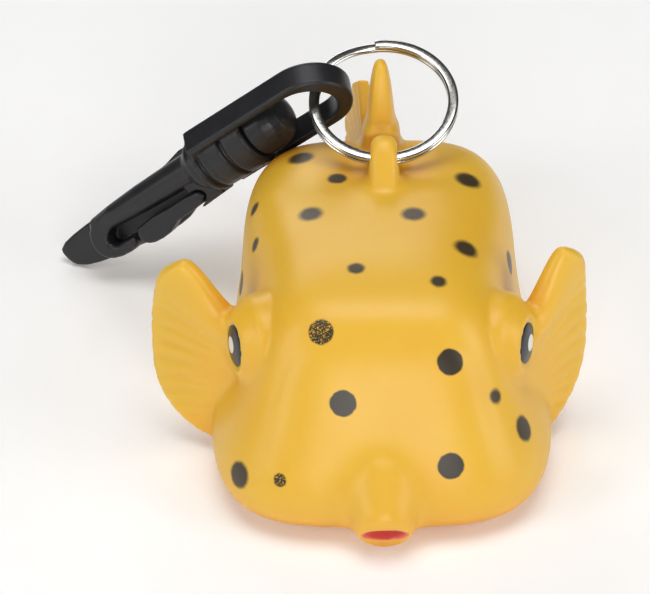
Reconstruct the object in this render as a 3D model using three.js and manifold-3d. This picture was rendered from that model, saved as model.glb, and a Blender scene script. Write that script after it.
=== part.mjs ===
// A moulded boxfish toy that hangs on a split ring with a swivel snap clip, in millimetres.
// +Z is up and the fish looks along -Y. The origin is the middle of its flat belly, on the surface it
// stands on. The ring runs through a lug on the back, lies round the dorsal fin and carries the clip,
// which leans over the rear corner of the body with its tip on the surface.
import * as THREE from "three";
import { mergeVertices } from "three/addons/utils/BufferGeometryUtils.js";
import Module from "manifold-3d";

const wasm = await Module();
wasm.setup();

// Driving sizes of the fish
const HALF_WIDTH = 31.2;
const HALF_LENGTH = 45.1;
const HALF_HEIGHT = 23;
const MID_Y = -3;
const MID_Z = 19.7;
const SQUARENESS = 4.1; // exponent of the rounded box: 2 is an ellipsoid, 8 nearly a brick
const FLANK_LEAN = 0.0072; // the sides draw in this share for each millimetre of height
const TAIL_NARROWING = 0.09;
const REAR_SWAY = -0.6; // the moulding has pulled a little to its right at the rear
const CHIN_NARROWING = 0.05;
const BROW_SETBACK = 14; // how far the brow lies behind the chin
const BACK_FALL = 1.0; // how far the back drops at the tail end
const TEMPLE = { share: 0.155, y: -16, reach: 24 }; // the flanks draw in at the eyes
const GAP = 0.3; // clear gap between neighbouring pieces

// Driving sizes of the ring and of the clip
const RING_RADIUS = 14; // to the middle of the wire
const WIRE_WIDTH = 2.1; // measured radially
const WIRE_HEIGHT = 1.0; // one of the two turns
const TURN_GAP = 0.12;
const RING_TURNS = 1.88; // the ends stop short of the crank
const RING_TILT = 22; // degrees that the ring's far side stands up
const HOLE = { x: 0.8, y: 18, z: 44.8, radius: 2.6 }; // the eye in the lug, along X
const COLLAR_RADIUS = 7;
const EYE_ARM = 1.8; // thickness of the strap eye's arms
const EYE_DEPTH = 5.6; // width of the strap eye, square to its plane
const SHANK_RADIUS = 3.1;

const yellow = new THREE.MeshStandardMaterial({ color: 0xf0b62a, roughness: 0.42 });
const steel = new THREE.MeshStandardMaterial({ color: 0xc9cac8, roughness: 0.18, metalness: 1 });
const black = new THREE.MeshStandardMaterial({ color: 0x1d1e20, roughness: 0.45 });

const fish = new THREE.Group();
const degrees = THREE.MathUtils.degToRad;
const clamp01 = (t) => Math.min(1, Math.max(0, t));
const smooth = (t) => clamp01(t) ** 2 * (3 - 2 * clamp01(t));

// Turns a closed three.js geometry into a solid.
function solid(geometry, matrix) {
  const bare = (geometry.index ? geometry.toNonIndexed() : geometry.clone());
  for (const name of Object.keys(bare.attributes)) if (name !== "position") bare.deleteAttribute(name);
  if (matrix) bare.applyMatrix4(matrix);
  const merged = mergeVertices(bare, 1e-4);
  const corners = merged.index.array;
  const kept = [];
  for (let i = 0; i < corners.length; i += 3) {
    const [a, b, c] = [corners[i], corners[i + 1], corners[i + 2]];
    if (a !== b && b !== c && c !== a) kept.push(a, b, c);
  }
  const made = new wasm.Manifold(new wasm.Mesh({
    numProp: 3,
    vertProperties: merged.attributes.position.array,
    triVerts: new Uint32Array(kept),
  }));
  if (made.volume() > 0) return made;
  for (let i = 0; i < kept.length; i += 3) [kept[i + 1], kept[i + 2]] = [kept[i + 2], kept[i + 1]];
  return new wasm.Manifold(new wasm.Mesh({
    numProp: 3,
    vertProperties: merged.attributes.position.array,
    triVerts: new Uint32Array(kept),
  }));
}

// Keeps the largest closed surface of a cut solid.
function largest(cut) {
  return cut.decompose().reduce((a, b) => (a.volume() > b.volume() ? a : b));
}

const SHORTEST_EDGE = 0.02; // slivers left by a cut that are shorter than this are closed up

// Adds a solid to the scene graph as a named mesh.
function add(name, cut, material) {
  const { vertProperties, triVerts } = largest(cut).simplify(SHORTEST_EDGE).getMesh();
  const geometry = new THREE.BufferGeometry();
  geometry.setAttribute("position", new THREE.BufferAttribute(new Float32Array(vertProperties), 3));
  geometry.setIndex(new THREE.BufferAttribute(new Uint32Array(triVerts), 1));
  geometry.computeVertexNormals();
  const mesh = new THREE.Mesh(geometry, material);
  mesh.name = name;
  fish.add(mesh);
}

const at = (x, y, z) => new THREE.Matrix4().makeTranslation(x, y, z);

// A box whose place is given by its lowest and highest corners.
function block(low, high) {
  const size = high.map((v, i) => v - low[i]);
  return solid(new THREE.BoxGeometry(...size), at(...low.map((v, i) => v + size[i] / 2)));
}

// The carapace: a rounded box with a raked forehead, flanks that lean in and a back that falls away.
function carapacePoint(direction, grow) {
  const [a, b, c] = [HALF_WIDTH + grow, HALF_LENGTH + grow, HALF_HEIGHT + grow];
  const [p, q, r] = [direction.x / a, direction.y / b, direction.z / c].map(Math.abs);
  const reach = (p ** SQUARENESS + q ** SQUARENESS + r ** SQUARENESS) ** (-1 / SQUARENESS);
  const point = direction.clone().multiplyScalar(reach);
  const height = point.z + MID_Z;
  const forward = clamp01((8 - point.y) / 49) ** 1.25;
  const rearward = smooth((point.y + 20) / 50);
  const rake = BROW_SETBACK * smooth((height - 3) / 36) * forward;
  const temple = TEMPLE.share * Math.exp(-(((point.y + MID_Y + rake - TEMPLE.y) / TEMPLE.reach) ** 2));
  const narrow = (1 - FLANK_LEAN * (1 - 0.75 * rearward) * (height - 20)) * (1 - TAIL_NARROWING * rearward)
    * (1 - temple * smooth((height - 6) / 20)) * (1 - CHIN_NARROWING * forward ** 4);
  const fall = BACK_FALL * rearward * clamp01((height - 12) / 24);
  return new THREE.Vector3(point.x * narrow + REAR_SWAY * rearward, point.y + rake + MID_Y, height - fall);
}

function carapaceSolid(detail, grow = 0) {
  const ball = new THREE.IcosahedronGeometry(1, detail);
  const places = ball.attributes.position;
  for (let i = 0; i < places.count; i++) {
    const direction = new THREE.Vector3().fromBufferAttribute(places, i).normalize();
    places.setXYZ(i, ...carapacePoint(direction, grow).toArray());
  }
  return solid(ball);
}

// A closed plate bent from a grid: place(a, b, side) gives a point, with side -1 or 1 across it.
function plate(columns, rows, place) {
  const grid = new THREE.BoxGeometry(1, 1, 1, columns, rows, 1);
  const places = grid.attributes.position;
  for (let i = 0; i < places.count; i++) {
    const [a, b] = [places.getX(i) + 0.5, places.getY(i) + 0.5];
    places.setXYZ(i, ...place(a, b, Math.sign(places.getZ(i))).toArray());
  }
  return solid(grid);
}

// A pebble-like slab: an outline drawn in the Y-Z plane, as thick as asked at a middle x, with its
// faces rounded over towards the rim. taper is the share of thickness lost at its top.
function slab(points, middle, thickness, taper = 0, around = 30, across = 10) {
  const rim = new THREE.SplineCurve(points.concat([points[0]]).map((p) => new THREE.Vector2(...p)));
  const centre = points.reduce((sum, p) => sum.add(new THREE.Vector2(...p)), new THREE.Vector2());
  centre.divideScalar(points.length);
  const [lowest, highest] = [Math.min, Math.max].map((pick) => pick(...points.map((p) => p[1])));
  const ball = new THREE.SphereGeometry(1, around, across);
  const places = ball.attributes.position;
  for (let i = 0; i < places.count; i++) {
    const polar = places.getY(i);
    const turn = (Math.atan2(places.getZ(i), places.getX(i)) / (2 * Math.PI) + 1) % 1;
    const spread = Math.sqrt(Math.max(0, 1 - Math.abs(polar) ** 2.6)) ** 0.8;
    const edge = rim.getPoint(turn).sub(centre).multiplyScalar(spread).add(centre);
    const share = clamp01((edge.y - lowest) / (highest - lowest));
    const lift = Math.sign(polar) * Math.abs(polar) ** 0.75 * (thickness / 2) * (1 - taper * share);
    places.setXYZ(i, middle + lift, edge.x, edge.y);
  }
  return solid(ball);
}

const carapace = carapaceSolid(12);
const clearance = carapaceSolid(12, GAP);
const aboveGround = block([-90, -90, 0], [90, 90, 90]);

// The snout: a short cone that grows out of the chin, with the mouth hollow in its end
const SNOUT_ROOT = new THREE.Vector3(0, -30, 13.5);
const SNOUT_TIP = new THREE.Vector3(0.6, -50.6, 5.8);
const MOUTH = new THREE.Vector3(3.9, 3.4, 1.6); // half its width, depth and height
function snoutSolid() {
  const axis = SNOUT_TIP.clone().sub(SNOUT_ROOT);
  const length = axis.length();
  const profile = [
    [0, 0], [9.4, 0], [9.6, 8], [9.0, 11.5], [7.8, 14], [6.4, 16.2], [5.3, 18.4], [4.7, length - 1],
    [4.0, length - 0.1], [0, length],
  ].map((p) => new THREE.Vector2(...p));
  const cone = new THREE.LatheGeometry(profile, 28);
  const turn = new THREE.Matrix4().makeRotationFromQuaternion(
    new THREE.Quaternion().setFromUnitVectors(new THREE.Vector3(0, 1, 0), axis.clone().normalize()),
  );
  const mouth = new THREE.SphereGeometry(1, 20, 12);
  const mouthPlace = at(SNOUT_TIP.x, SNOUT_TIP.y - 0.2, SNOUT_TIP.z).scale(MOUTH);
  return solid(cone, turn.setPosition(SNOUT_ROOT)).subtract(solid(mouth, mouthPlace));
}

// An eye: a round turret that stands out of the temple, with a flat-topped eyeball sunk in its rim
const EYE = { x: 24.1, y: -19.6, z: 27.8, out: 0.93, ahead: 0.34, up: 0.10 };
function eyeSolid(side, grow = 0) {
  const profile = [
    [0, -5], [9.1, -5], [9.4, -0.8], [9.0, 0.6], [8.0, 2.2], [6.6, 3.5], [5.2, 4.3], [4.6, 4.2],
    [4.3, 4.0], [3.2, 4.4], [0, 4.8],
  ].map(([r, y]) => new THREE.Vector2(r > 0 ? r + grow : 0, y < 0 ? y - grow : y + grow));
  const outward = new THREE.Vector3(side * EYE.out, -EYE.ahead, EYE.up).normalize();
  const turn = new THREE.Matrix4().makeRotationFromQuaternion(
    new THREE.Quaternion().setFromUnitVectors(new THREE.Vector3(0, 1, 0), outward),
  );
  return solid(new THREE.LatheGeometry(profile, 28), turn.setPosition(side * EYE.x, EYE.y, EYE.z));
}

// A pectoral fin: a ribbed fan swept back from the flank, with a thick upper edge.
// Its edge is given as [distance out from the root line, height].
const FIN_EDGE = new THREE.SplineCurve([
  [2.0, 3.4], [8.6, 4.4], [14.0, 8.0], [17.0, 14], [17.4, 23], [16.0, 32], [13.2, 39.4], [9.4, 41.6],
].map((p) => new THREE.Vector2(...p)));
const FIN_ROOT = { x: 29, y: -15, low: 4.5, high: 30, sunk: 8, lean: 5 };
const FIN_NOTCH = 3.6; // how far the fin's upper side sags between its tip and the flank
const FIN_SWEEP = { right: degrees(25), left: degrees(50) }; // the soft fins don't sit quite alike
const FIN_RIBS = 13;
function pectoralSolid(side) {
  const sweep = side < 0 ? FIN_SWEEP.right : FIN_SWEEP.left;
  return plate(39, 4, (a, b, face) => {
    const edge = FIN_EDGE.getPoint(a);
    const rootHeight = THREE.MathUtils.lerp(FIN_ROOT.low, FIN_ROOT.high, a);
    const out = THREE.MathUtils.lerp(-FIN_ROOT.sunk, edge.x, b);
    const notch = FIN_NOTCH * Math.sin(Math.PI * b) * smooth((a - 0.6) / 0.4);
    const height = THREE.MathUtils.lerp(rootHeight, edge.y, b) - notch;
    const rib = 0.22 * Math.cos(2 * Math.PI * FIN_RIBS * a) * clamp01(b * 1.6) * clamp01(6 * (0.84 - a));
    const half = THREE.MathUtils.lerp(2.1, 1.15, b) + 0.9 * smooth((a - 0.68) / 0.15) * (1 - 0.45 * b) + rib;
    const cup = 1.6 * Math.sin(Math.PI * b); // the fan is hollow towards the front
    return new THREE.Vector3(
      side * (FIN_ROOT.x + out * Math.cos(sweep) + face * half * Math.sin(sweep)),
      FIN_ROOT.y - FIN_ROOT.lean * (1 - a) + out * Math.sin(sweep) - face * half * Math.cos(sweep) + cup,
      height,
    );
  });
}

// The lug on the back: a rounded fin-shaped ridge with an eye bored across it
function lugSolid() {
  const ridge = slab([
    [7.2, 39], [9.4, 42.0], [12.4, 45.0], [15.2, 48.4], [17.8, 49.9], [20.2, 49.0], [22.0, 46],
    [23.2, 42.6], [24.4, 39],
  ], HOLE.x, 6.6, 0.1);
  const bore = new THREE.CylinderGeometry(HOLE.radius, HOLE.radius, 20, 24).rotateZ(Math.PI / 2);
  return ridge.subtract(solid(bore, at(HOLE.x, HOLE.y, HOLE.z)));
}

// The dorsal fin: an upright blade on a thicker foot
function dorsalSolid() {
  const foot = slab([[24.2, 37], [25.4, 43.6], [26.6, 46.2], [34, 45.8], [36.8, 42], [37.6, 37]], 0.2, 7.8);
  const blade = slab([
    [25.8, 40], [27.0, 47], [28.4, 53], [30.4, 57.4], [33, 58.8], [35.2, 56.6], [36.4, 51], [36.6, 45],
    [36, 40],
  ], 0.2, 6.8, 0.5);
  return foot.add(blade);
}

// The tail: a stalk out of the rear face, and a ribbed fan that curves to the fish's right
const TAIL_MIDDLE = 22;
const TAIL_CURVE = 6.5;
const TAIL_RIBS = 9;
// Rings of the stalk: [place along, half width, half height]
const STALK = [[30, 12.5, 11.5], [38, 9.5, 9.0], [44, 5.4, 7.2], [50.5, 3.2, 7.0]];
function stalkSolid() {
  const [front, rear] = [STALK[0][0], STALK.at(-1)[0]];
  const profile = [new THREE.Vector2(0, front)];
  for (const [y, halfWidth] of STALK) profile.push(new THREE.Vector2(halfWidth, y));
  profile.push(new THREE.Vector2(0, rear));
  const lathe = new THREE.LatheGeometry(profile, 24);
  const places = lathe.attributes.position;
  const tallness = new THREE.SplineCurve(STALK.map(([y, w, h]) => new THREE.Vector2(y, h / w)));
  for (let i = 0; i < places.count; i++) {
    const y = places.getY(i);
    const share = clamp01((y - front) / (rear - front));
    const stretch = tallness.getPoint(share).y;
    places.setXYZ(i, places.getX(i), y, TAIL_MIDDLE + places.getZ(i) * stretch);
  }
  return solid(lathe);
}
function tailFinSolid() {
  return plate(27, 4, (a, b, face) => {
    const angle = degrees(THREE.MathUtils.lerp(-62, 62, a));
    const reach = THREE.MathUtils.lerp(2, 21, b);
    const y = 45 + reach * Math.cos(angle) * 0.93;
    const z = TAIL_MIDDLE + reach * Math.sin(angle) * 1.02;
    const bend = -TAIL_CURVE * clamp01((y - 44) / 19);
    const rib = 0.22 * Math.cos(2 * Math.PI * TAIL_RIBS * a) * clamp01(1.5 * b - 0.2);
    const half = THREE.MathUtils.lerp(2.6, 1.2, b) + rib;
    return new THREE.Vector3(bend + face * half, y, z);
  });
}

// The split ring: two turns of flat wire wound as one spring, with a crank where it steps over itself
class RingPath extends THREE.Curve {
  getPoint(t, target = new THREE.Vector3()) {
    const angle = Math.PI / 2 + (t - 0.5) * 2 * Math.PI * RING_TURNS;
    const rise = (WIRE_HEIGHT + TURN_GAP) * (smooth((t - 0.5) * 16 + 0.5) - 0.5);
    return target.set(RING_RADIUS * Math.cos(angle), RING_RADIUS * Math.sin(angle), rise);
  }
}
const ringFrame = new THREE.Matrix4()
  .makeRotationX(degrees(RING_TILT))
  .setPosition(
    HOLE.x,
    HOLE.y + RING_RADIUS * Math.cos(degrees(RING_TILT)),
    HOLE.z + RING_RADIUS * Math.sin(degrees(RING_TILT)),
  );
function ringSolid() {
  const section = new THREE.Shape();
  const [h, w] = [WIRE_HEIGHT / 2, WIRE_WIDTH / 2];
  // The extrusion lays the shape's x along the ring's axis and its y along the radius.
  section.moveTo(-h, -w + h);
  section.quadraticCurveTo(-h, -w, 0, -w);
  section.quadraticCurveTo(h, -w, h, -w + h);
  section.lineTo(h, w - h);
  section.quadraticCurveTo(h, w, 0, w);
  section.quadraticCurveTo(-h, w, -h, w - h);
  section.closePath();
  const coil = new THREE.ExtrudeGeometry(section, {
    steps: 84, curveSegments: 1, bevelEnabled: false, extrudePath: new RingPath(),
  });
  return solid(coil, ringFrame);
}

// The clip is drawn with its own x along its length from the strap eye to the tip, its y square to
// the eye's plane, and its z across. clipFrame lays it over the fish's corner.
const CLIP_HEAD = new THREE.Vector3(-7.6, 32.8, 54.9); // outer end of the strap eye
const CLIP_RUN = new THREE.Vector3(-62.3, 12.4, -51.6); // to the tip of the hook
const EYE_TURN = degrees(-25); // how far the eye's plane is rolled about the clip's length
const HOOK_TURN = degrees(25);
const EYE_LENGTH = 36.6;
const COLLAR_START = 23.2;
const KNOB_END = 14.6;
const clipX = CLIP_RUN.clone().normalize();
const ahead = new THREE.Vector3(0, -1, 0);

// A frame on the clip's axis with its y turned so far round the axis from the fish's forward.
function clipFrame(turn) {
  const y = ahead.clone().addScaledVector(clipX, -ahead.dot(clipX)).normalize().applyAxisAngle(clipX, turn);
  return new THREE.Matrix4().makeBasis(clipX, y, clipX.clone().cross(y)).setPosition(CLIP_HEAD);
}

// A smooth closed outline through the given points
function drawn(points) {
  const corners = points.map(([x, z]) => new THREE.Vector3(x, z, 0));
  const curve = new THREE.CatmullRomCurve3(corners, true, "centripetal");
  const rim = curve.getPoints(2 * points.length).slice(1);
  return new THREE.Shape(rim.map((p) => new THREE.Vector2(p.x, p.y)));
}

// Extrudes a shape drawn in the clip's x-z plane, centred on its y.
function clipSlab(shape, depth, bevel, middle = 0) {
  const body = new THREE.ExtrudeGeometry(shape, {
    depth: depth - 2 * bevel, bevelEnabled: bevel > 0, bevelThickness: bevel, bevelSize: bevel,
    bevelOffset: -bevel, bevelSegments: 1, curveSegments: 12,
  });
  const turn = new THREE.Matrix4().makeBasis(
    new THREE.Vector3(1, 0, 0), new THREE.Vector3(0, 0, 1), new THREE.Vector3(0, -1, 0),
  );
  return solid(body, turn.setPosition(0, middle + depth / 2 - bevel, 0));
}

// A round solid about the clip's x axis, from [distance along, radius] pairs.
function turned(pairs, segments = 28) {
  const profile = pairs.map(([x, r]) => new THREE.Vector2(r, x));
  return solid(new THREE.LatheGeometry(profile, segments), new THREE.Matrix4().makeRotationZ(-Math.PI / 2));
}

// The strap eye: a flat U whose arms hold the grooved collar that the hook turns in
function strapEyeSolid() {
  const outer = COLLAR_RADIUS + EYE_ARM;
  const loop = new THREE.Shape();
  loop.moveTo(EYE_LENGTH - 1, outer);
  loop.lineTo(outer, outer);
  loop.absarc(outer, 0, outer, Math.PI / 2, Math.PI * 1.5);
  loop.lineTo(EYE_LENGTH - 1, -outer);
  loop.closePath();
  const inner = COLLAR_RADIUS - 0.3;
  const wall = 3.6; // the rounded end is thicker than the arms
  const opening = new THREE.Path();
  opening.moveTo(EYE_LENGTH - 4, inner);
  opening.lineTo(wall + inner, inner);
  opening.absarc(wall + inner, 0, inner, Math.PI / 2, Math.PI * 1.5);
  opening.lineTo(EYE_LENGTH - 4, -inner);
  opening.closePath();
  loop.holes.push(opening);
  const strap = clipSlab(loop, EYE_DEPTH, 0.5);
  const r = COLLAR_RADIUS;
  const collar = turned([
    [COLLAR_START, 0], [COLLAR_START, r - 0.4], [COLLAR_START + 0.4, r], [28.2, r], [28.4, r - 0.8],
    [29.2, r - 0.8], [29.4, r], [32.8, r], [33, r - 0.25], [33.2, r], [34.6, r], [34.8, r - 0.7],
    [35.4, r - 0.7], [35.6, r + 0.1], [36.9, r + 0.1], [EYE_LENGTH, r - 0.4], [EYE_LENGTH, 0],
  ]);
  const bore = turned([[COLLAR_START - 3, 0], [COLLAR_START - 3, SHANK_RADIUS + GAP],
    [60, SHANK_RADIUS + GAP], [60, 0]]);
  return strap.add(collar).subtract(bore);
}

// The hook: a knob and shank that turn in the collar, a round spine that bends back as the nose, and
// a flat leaf behind both that runs on past the bend
const HOOK_END = CLIP_RUN.length();
const SPINE_HEIGHT = 0.6;
const LEAF = { thickness: 2.2, middle: -3.0 };
function hookSolid() {
  const back = COLLAR_START - GAP;
  const front = EYE_LENGTH + GAP;
  const shank = turned([
    [KNOB_END, 0], [KNOB_END + 0.2, 2.2], [KNOB_END + 1, 4.0], [KNOB_END + 2.4, 5.2],
    [KNOB_END + 4.4, 5.9], [back - 0.4, 6.1], [back, 5.8], [back, SHANK_RADIUS], [front, SHANK_RADIUS],
    [front, 5.6], [front + 2, 5.6], [front + 4.4, 3.6], [front + 4.8, 0],
  ]);
  const spine = turned([[39, 0], [39, 3.5], [56, 3.0], [64, 2.5], [69.4, 1.9], [70.4, 1.1], [70.6, 0]], 16)
    .translate([0, 0, SPINE_HEIGHT]);
  const nose = clipSlab(drawn([
    [61, -0.8], [65.4, -1.4], [67.4, -2.8], [67.6, -4.2], [66.2, -5.2], [62.2, -5.2], [61.5, -6.3],
    [62.2, -7.5], [66.6, -7.7], [70.2, -6.4], [71.8, -3.6], [70.8, 0.2], [67.4, 2.0], [61, 2.2],
  ]), 4.4, 0.5);
  const leaf = clipSlab(drawn([
    [40, -5.8], [45, -6.4], [50, -8.2], [56, -8.6], [66, -7.6], [75, -6.4], [80.4, -4.4], [HOOK_END, -1.8],
    [81.8, 0.4], [77.4, 1.7], [68, 2.3], [58, 3.0], [48, 3.9], [40, 4.8],
  ]), LEAF.thickness, 0.4, LEAF.middle);
  const heel = clipSlab(new THREE.Shape([
    [front, 3], [front, -7.4], [43.2, -7.8], [44, -5.6], [45, 0], [45, 3],
  ].map((p) => new THREE.Vector2(...p))), 5.8, 0.4, -1);
  return shank.add(spine).add(nose).add(leaf).add(heel).subtract(gateSolid(GAP));
}

// The gate: a springy bar between the heel and the nose, with a thumb rest on its outer face
function gateSolid(grow = 0) {
  return clipSlab(drawn([
    [41.0 - grow, -5.6], [42.4, -4.2 + grow], [50, -4.0 + grow], [59.4, -4.2 + grow], [60.4 + grow, -6],
    [60, -7.6 - grow], [57.6, -8.8 - grow], [53, -8.6 - grow], [50.2, -7.4 - grow], [42.6, -7.0 - grow],
  ]), 3.8 + 2 * grow, grow > 0 ? 0 : 0.4, 0.5);
}

for (const side of [-1, 1]) {
  const word = side < 0 ? "right" : "left"; // the fish's own right is at -X
  add(`eye_${word}`, eyeSolid(side).subtract(clearance), yellow);
  const fin = pectoralSolid(side).subtract(clearance).subtract(eyeSolid(side, GAP));
  add(`pectoral_fin_${word}`, fin.intersect(aboveGround), yellow);
}
add("carapace", carapace.intersect(aboveGround), yellow);
add("snout", snoutSolid().subtract(clearance).intersect(aboveGround), yellow);
add("ring_lug", lugSolid().subtract(clearance), yellow);
add("dorsal_fin", dorsalSolid().subtract(clearance), yellow);
add("tail_stalk", stalkSolid().subtract(clearance), yellow);
add("tail_fin", tailFinSolid().subtract(stalkSolid().add(clearance)), yellow);
add("split_ring", ringSolid(), steel);
add("clip_strap_eye", strapEyeSolid().transform(clipFrame(EYE_TURN).elements), black);
add("clip_hook", hookSolid().transform(clipFrame(HOOK_TURN).elements), black);
add("clip_gate", gateSolid().transform(clipFrame(HOOK_TURN).elements), black);

export default fish;
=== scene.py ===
# %% [markdown]
# # A soft vinyl boxfish with a split ring and a snap clip
# This lesson dresses a small bath toy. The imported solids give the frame: every length here is in
# their coordinates, with the origin in the middle of the flat belly, +Z up and the fish looking
# along -Y. Lengths are written in millimetres, because that is how such a toy is drawn, and turned
# into metres where a mesh is made.

import bpy
import bmesh
import math
import numpy as np
from mathutils import Matrix, Vector


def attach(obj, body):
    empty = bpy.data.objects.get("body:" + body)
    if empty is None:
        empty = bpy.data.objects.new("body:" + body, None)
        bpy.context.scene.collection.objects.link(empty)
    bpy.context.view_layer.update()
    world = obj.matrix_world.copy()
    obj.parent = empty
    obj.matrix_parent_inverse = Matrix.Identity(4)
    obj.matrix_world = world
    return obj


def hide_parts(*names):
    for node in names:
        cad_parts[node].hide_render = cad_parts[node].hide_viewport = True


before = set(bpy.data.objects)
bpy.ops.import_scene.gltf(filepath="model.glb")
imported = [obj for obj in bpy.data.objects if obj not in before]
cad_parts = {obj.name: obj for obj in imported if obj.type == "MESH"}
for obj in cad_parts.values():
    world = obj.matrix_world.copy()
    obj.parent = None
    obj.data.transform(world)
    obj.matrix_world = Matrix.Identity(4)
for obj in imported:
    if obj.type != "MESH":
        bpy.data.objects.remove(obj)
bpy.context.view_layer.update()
MM = 0.001
SAME_PLACE = 1e-6  # points closer than this are taken for one

# %% [markdown]
# ## Meshes from rings and grids
# A moulded toy is made of a few kinds of form: turned ones, fins, pebbles and bent wire. Modifiers
# or sculpting could make each by hand. Building them from rings of points keeps every size in
# sight, so one small loft serves them all: neighbouring rings are joined with quads and the two ends
# are closed.

# %% A loft and a smooth curve
def add_object(name, data):
    """Puts a new object that holds the data into the scene."""
    made = bpy.data.objects.new(name, data)
    bpy.context.scene.collection.objects.link(made)
    return made


def new_object(name, points, faces):
    mesh = bpy.data.meshes.new(name)
    mesh.from_pydata([tuple(p) for p in np.asarray(points) * MM], [], [tuple(f) for f in faces])
    mesh.validate()
    tidy = bmesh.new()
    tidy.from_mesh(mesh)
    bmesh.ops.remove_doubles(tidy, verts=tidy.verts, dist=SAME_PLACE)
    bmesh.ops.recalc_face_normals(tidy, faces=tidy.faces)
    tidy.to_mesh(mesh)
    tidy.free()
    return add_object(name, mesh)


def loft(name, rings):
    """A closed piece through rings that all have the same count of points."""
    rings = np.asarray(rings, float)
    count, around = rings.shape[:2]
    faces = []
    for i in range(count - 1):
        for k in range(around):
            n = (k + 1) % around
            faces.append((i * around + k, i * around + n, (i + 1) * around + n, (i + 1) * around + k))
    faces.append(tuple(range(around - 1, -1, -1)))
    faces.append(tuple((count - 1) * around + k for k in range(around)))
    return new_object(name, rings.reshape(-1, 3), faces)


def smooth_step(t):
    """An S-shaped step from 0 to 1."""
    t = np.clip(t, 0, 1)
    return t * t * (3 - 2 * t)


def curve(points, t):
    """A smooth curve through the points, at shares t of its length from 0 to 1."""
    p = np.asarray(points, float)
    place = np.clip(t, 0, 1) * (len(p) - 1)
    i = np.minimum(place.astype(int), len(p) - 2)
    w = (place - i)[..., None]
    a, b, c, d = p[np.maximum(i - 1, 0)], p[i], p[i + 1], p[np.minimum(i + 2, len(p) - 1)]
    leave, arrive = (c - a) / 2, (d - b) / 2
    cubic = 2 * b - 2 * c + leave + arrive
    square = 3 * c - 3 * b - 2 * leave - arrive
    return cubic * w**3 + square * w**2 + leave * w + b


def frame_along(axis, origin):
    """A matrix whose z lies along axis, for a turned piece."""
    direction = Vector(axis).to_track_quat("Z", "Y").to_matrix().to_4x4()
    return Matrix.Translation(Vector(origin)) @ direction


def turned(name, profile, matrix, around=96, steps=90, smooth=True):
    """A turned piece from [radius, height] pairs, laid along the matrix's z."""
    shares = np.linspace(0, 1, steps)
    pairs = curve(profile, shares) if smooth else np.asarray(profile, float)
    turns = np.linspace(0, 2 * np.pi, around, endpoint=False)
    rings = [[matrix @ Vector((r * math.cos(t), r * math.sin(t), h)) for t in turns] for r, h in pairs]
    return loft(name, rings)


# %% [markdown]
# ## The box of the body
# A real boxfish wears a case of fused plates, and the toy keeps its shape: a box with soft edges, a
# raked forehead and flanks that lean in. A subdivided cube would need its corners pushed about.
# A superellipsoid gets there with one exponent, and a few small bends do the rest: the brow is raked,
# the flanks lean in, the temples are pinched, the face and the rear grow narrower, the back falls a
# little towards the tail, and the rear sits slightly to the fish's right.

# %% The carapace
HALF_WIDTH, HALF_LENGTH, HALF_HEIGHT = 31.2, 45.1, 23.0
MID_Y, MID_Z = -3.0, 19.7
SQUARENESS = 4.1
FACE = {"from": 8, "run": 49, "bend": 1.25, "narrowing": 0.05}
REAR = {"from": -20, "run": 50, "narrowing": 0.09, "sway": -0.6}
FLANK = {"lean": 0.0072, "upright_at": 20, "straighter_rear": 0.75}
BROW = {"setback": 14.0, "from": 3, "run": 36}
BACK = {"fall": 1.0, "from": 12, "run": 24}
TEMPLE = {"share": 0.155, "y": -16, "reach": 24, "from": 6, "run": 20}
BALL_SUBDIVISIONS = 7


def carapace_points(direction):
    """The points of the box, one for each direction out of its middle."""
    size = np.array([HALF_WIDTH, HALF_LENGTH, HALF_HEIGHT])
    reach = (np.abs(direction / size) ** SQUARENESS).sum(1) ** (-1 / SQUARENESS)
    x, y, z = (direction * reach[:, None]).T
    height = z + MID_Z
    forward = np.clip((FACE["from"] - y) / FACE["run"], 0, 1) ** FACE["bend"]
    rearward = smooth_step((y - REAR["from"]) / REAR["run"])
    rake = BROW["setback"] * smooth_step((height - BROW["from"]) / BROW["run"]) * forward
    temple = TEMPLE["share"] * np.exp(-(((y + MID_Y + rake - TEMPLE["y"]) / TEMPLE["reach"]) ** 2))
    pinch = temple * smooth_step((height - TEMPLE["from"]) / TEMPLE["run"])
    lean = FLANK["lean"] * (1 - FLANK["straighter_rear"] * rearward)
    width = 1 - lean * (height - FLANK["upright_at"])
    width *= (1 - REAR["narrowing"] * rearward) * (1 - pinch)
    width *= 1 - FACE["narrowing"] * forward**4
    fall = BACK["fall"] * rearward * np.clip((height - BACK["from"]) / BACK["run"], 0, 1)
    sway = REAR["sway"] * rearward
    return np.stack([x * width + sway, y + rake + MID_Y, np.maximum(height - fall, 0)], 1)


ball = bmesh.new()
bmesh.ops.create_icosphere(ball, subdivisions=BALL_SUBDIVISIONS, radius=1)
directions = np.array([v.co.normalized()[:] for v in ball.verts])
triangles = [[v.index for v in f.verts] for f in ball.faces]
ball.free()
carapace = new_object("carapace_form", carapace_points(directions), triangles)
print("carapace points:", len(directions))

# %% [markdown]
# ## Mouth, eyes, lug and back fin
# The pursed mouth grows out of the chin like a small bell, with the opening pressed into its end.
# Each eye stands on a round turret with a groove where the painted ball sits. On the back are the lug
# that takes the ring and the upright fin behind it, both shaped like flat pebbles. Two booleans cut
# what a mould's pins would leave open: the mouth and the eye of the lug.

# %% The mouth
def cut_away(piece, cutter):
    """Cuts one closed piece out of another and removes the cutter."""
    change = piece.modifiers.new("cut", "BOOLEAN")
    change.object = cutter
    change.solver = "EXACT"
    apply_all(piece)
    bpy.data.objects.remove(cutter)


def apply_all(piece):
    """Turns what a piece's modifiers make into its mesh."""
    bpy.context.view_layer.update()
    seen = piece.evaluated_get(bpy.context.evaluated_depsgraph_get())
    mesh = bpy.data.meshes.new_from_object(seen)
    piece.modifiers.clear()
    old, piece.data = piece.data, mesh
    bpy.data.meshes.remove(old)


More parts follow.
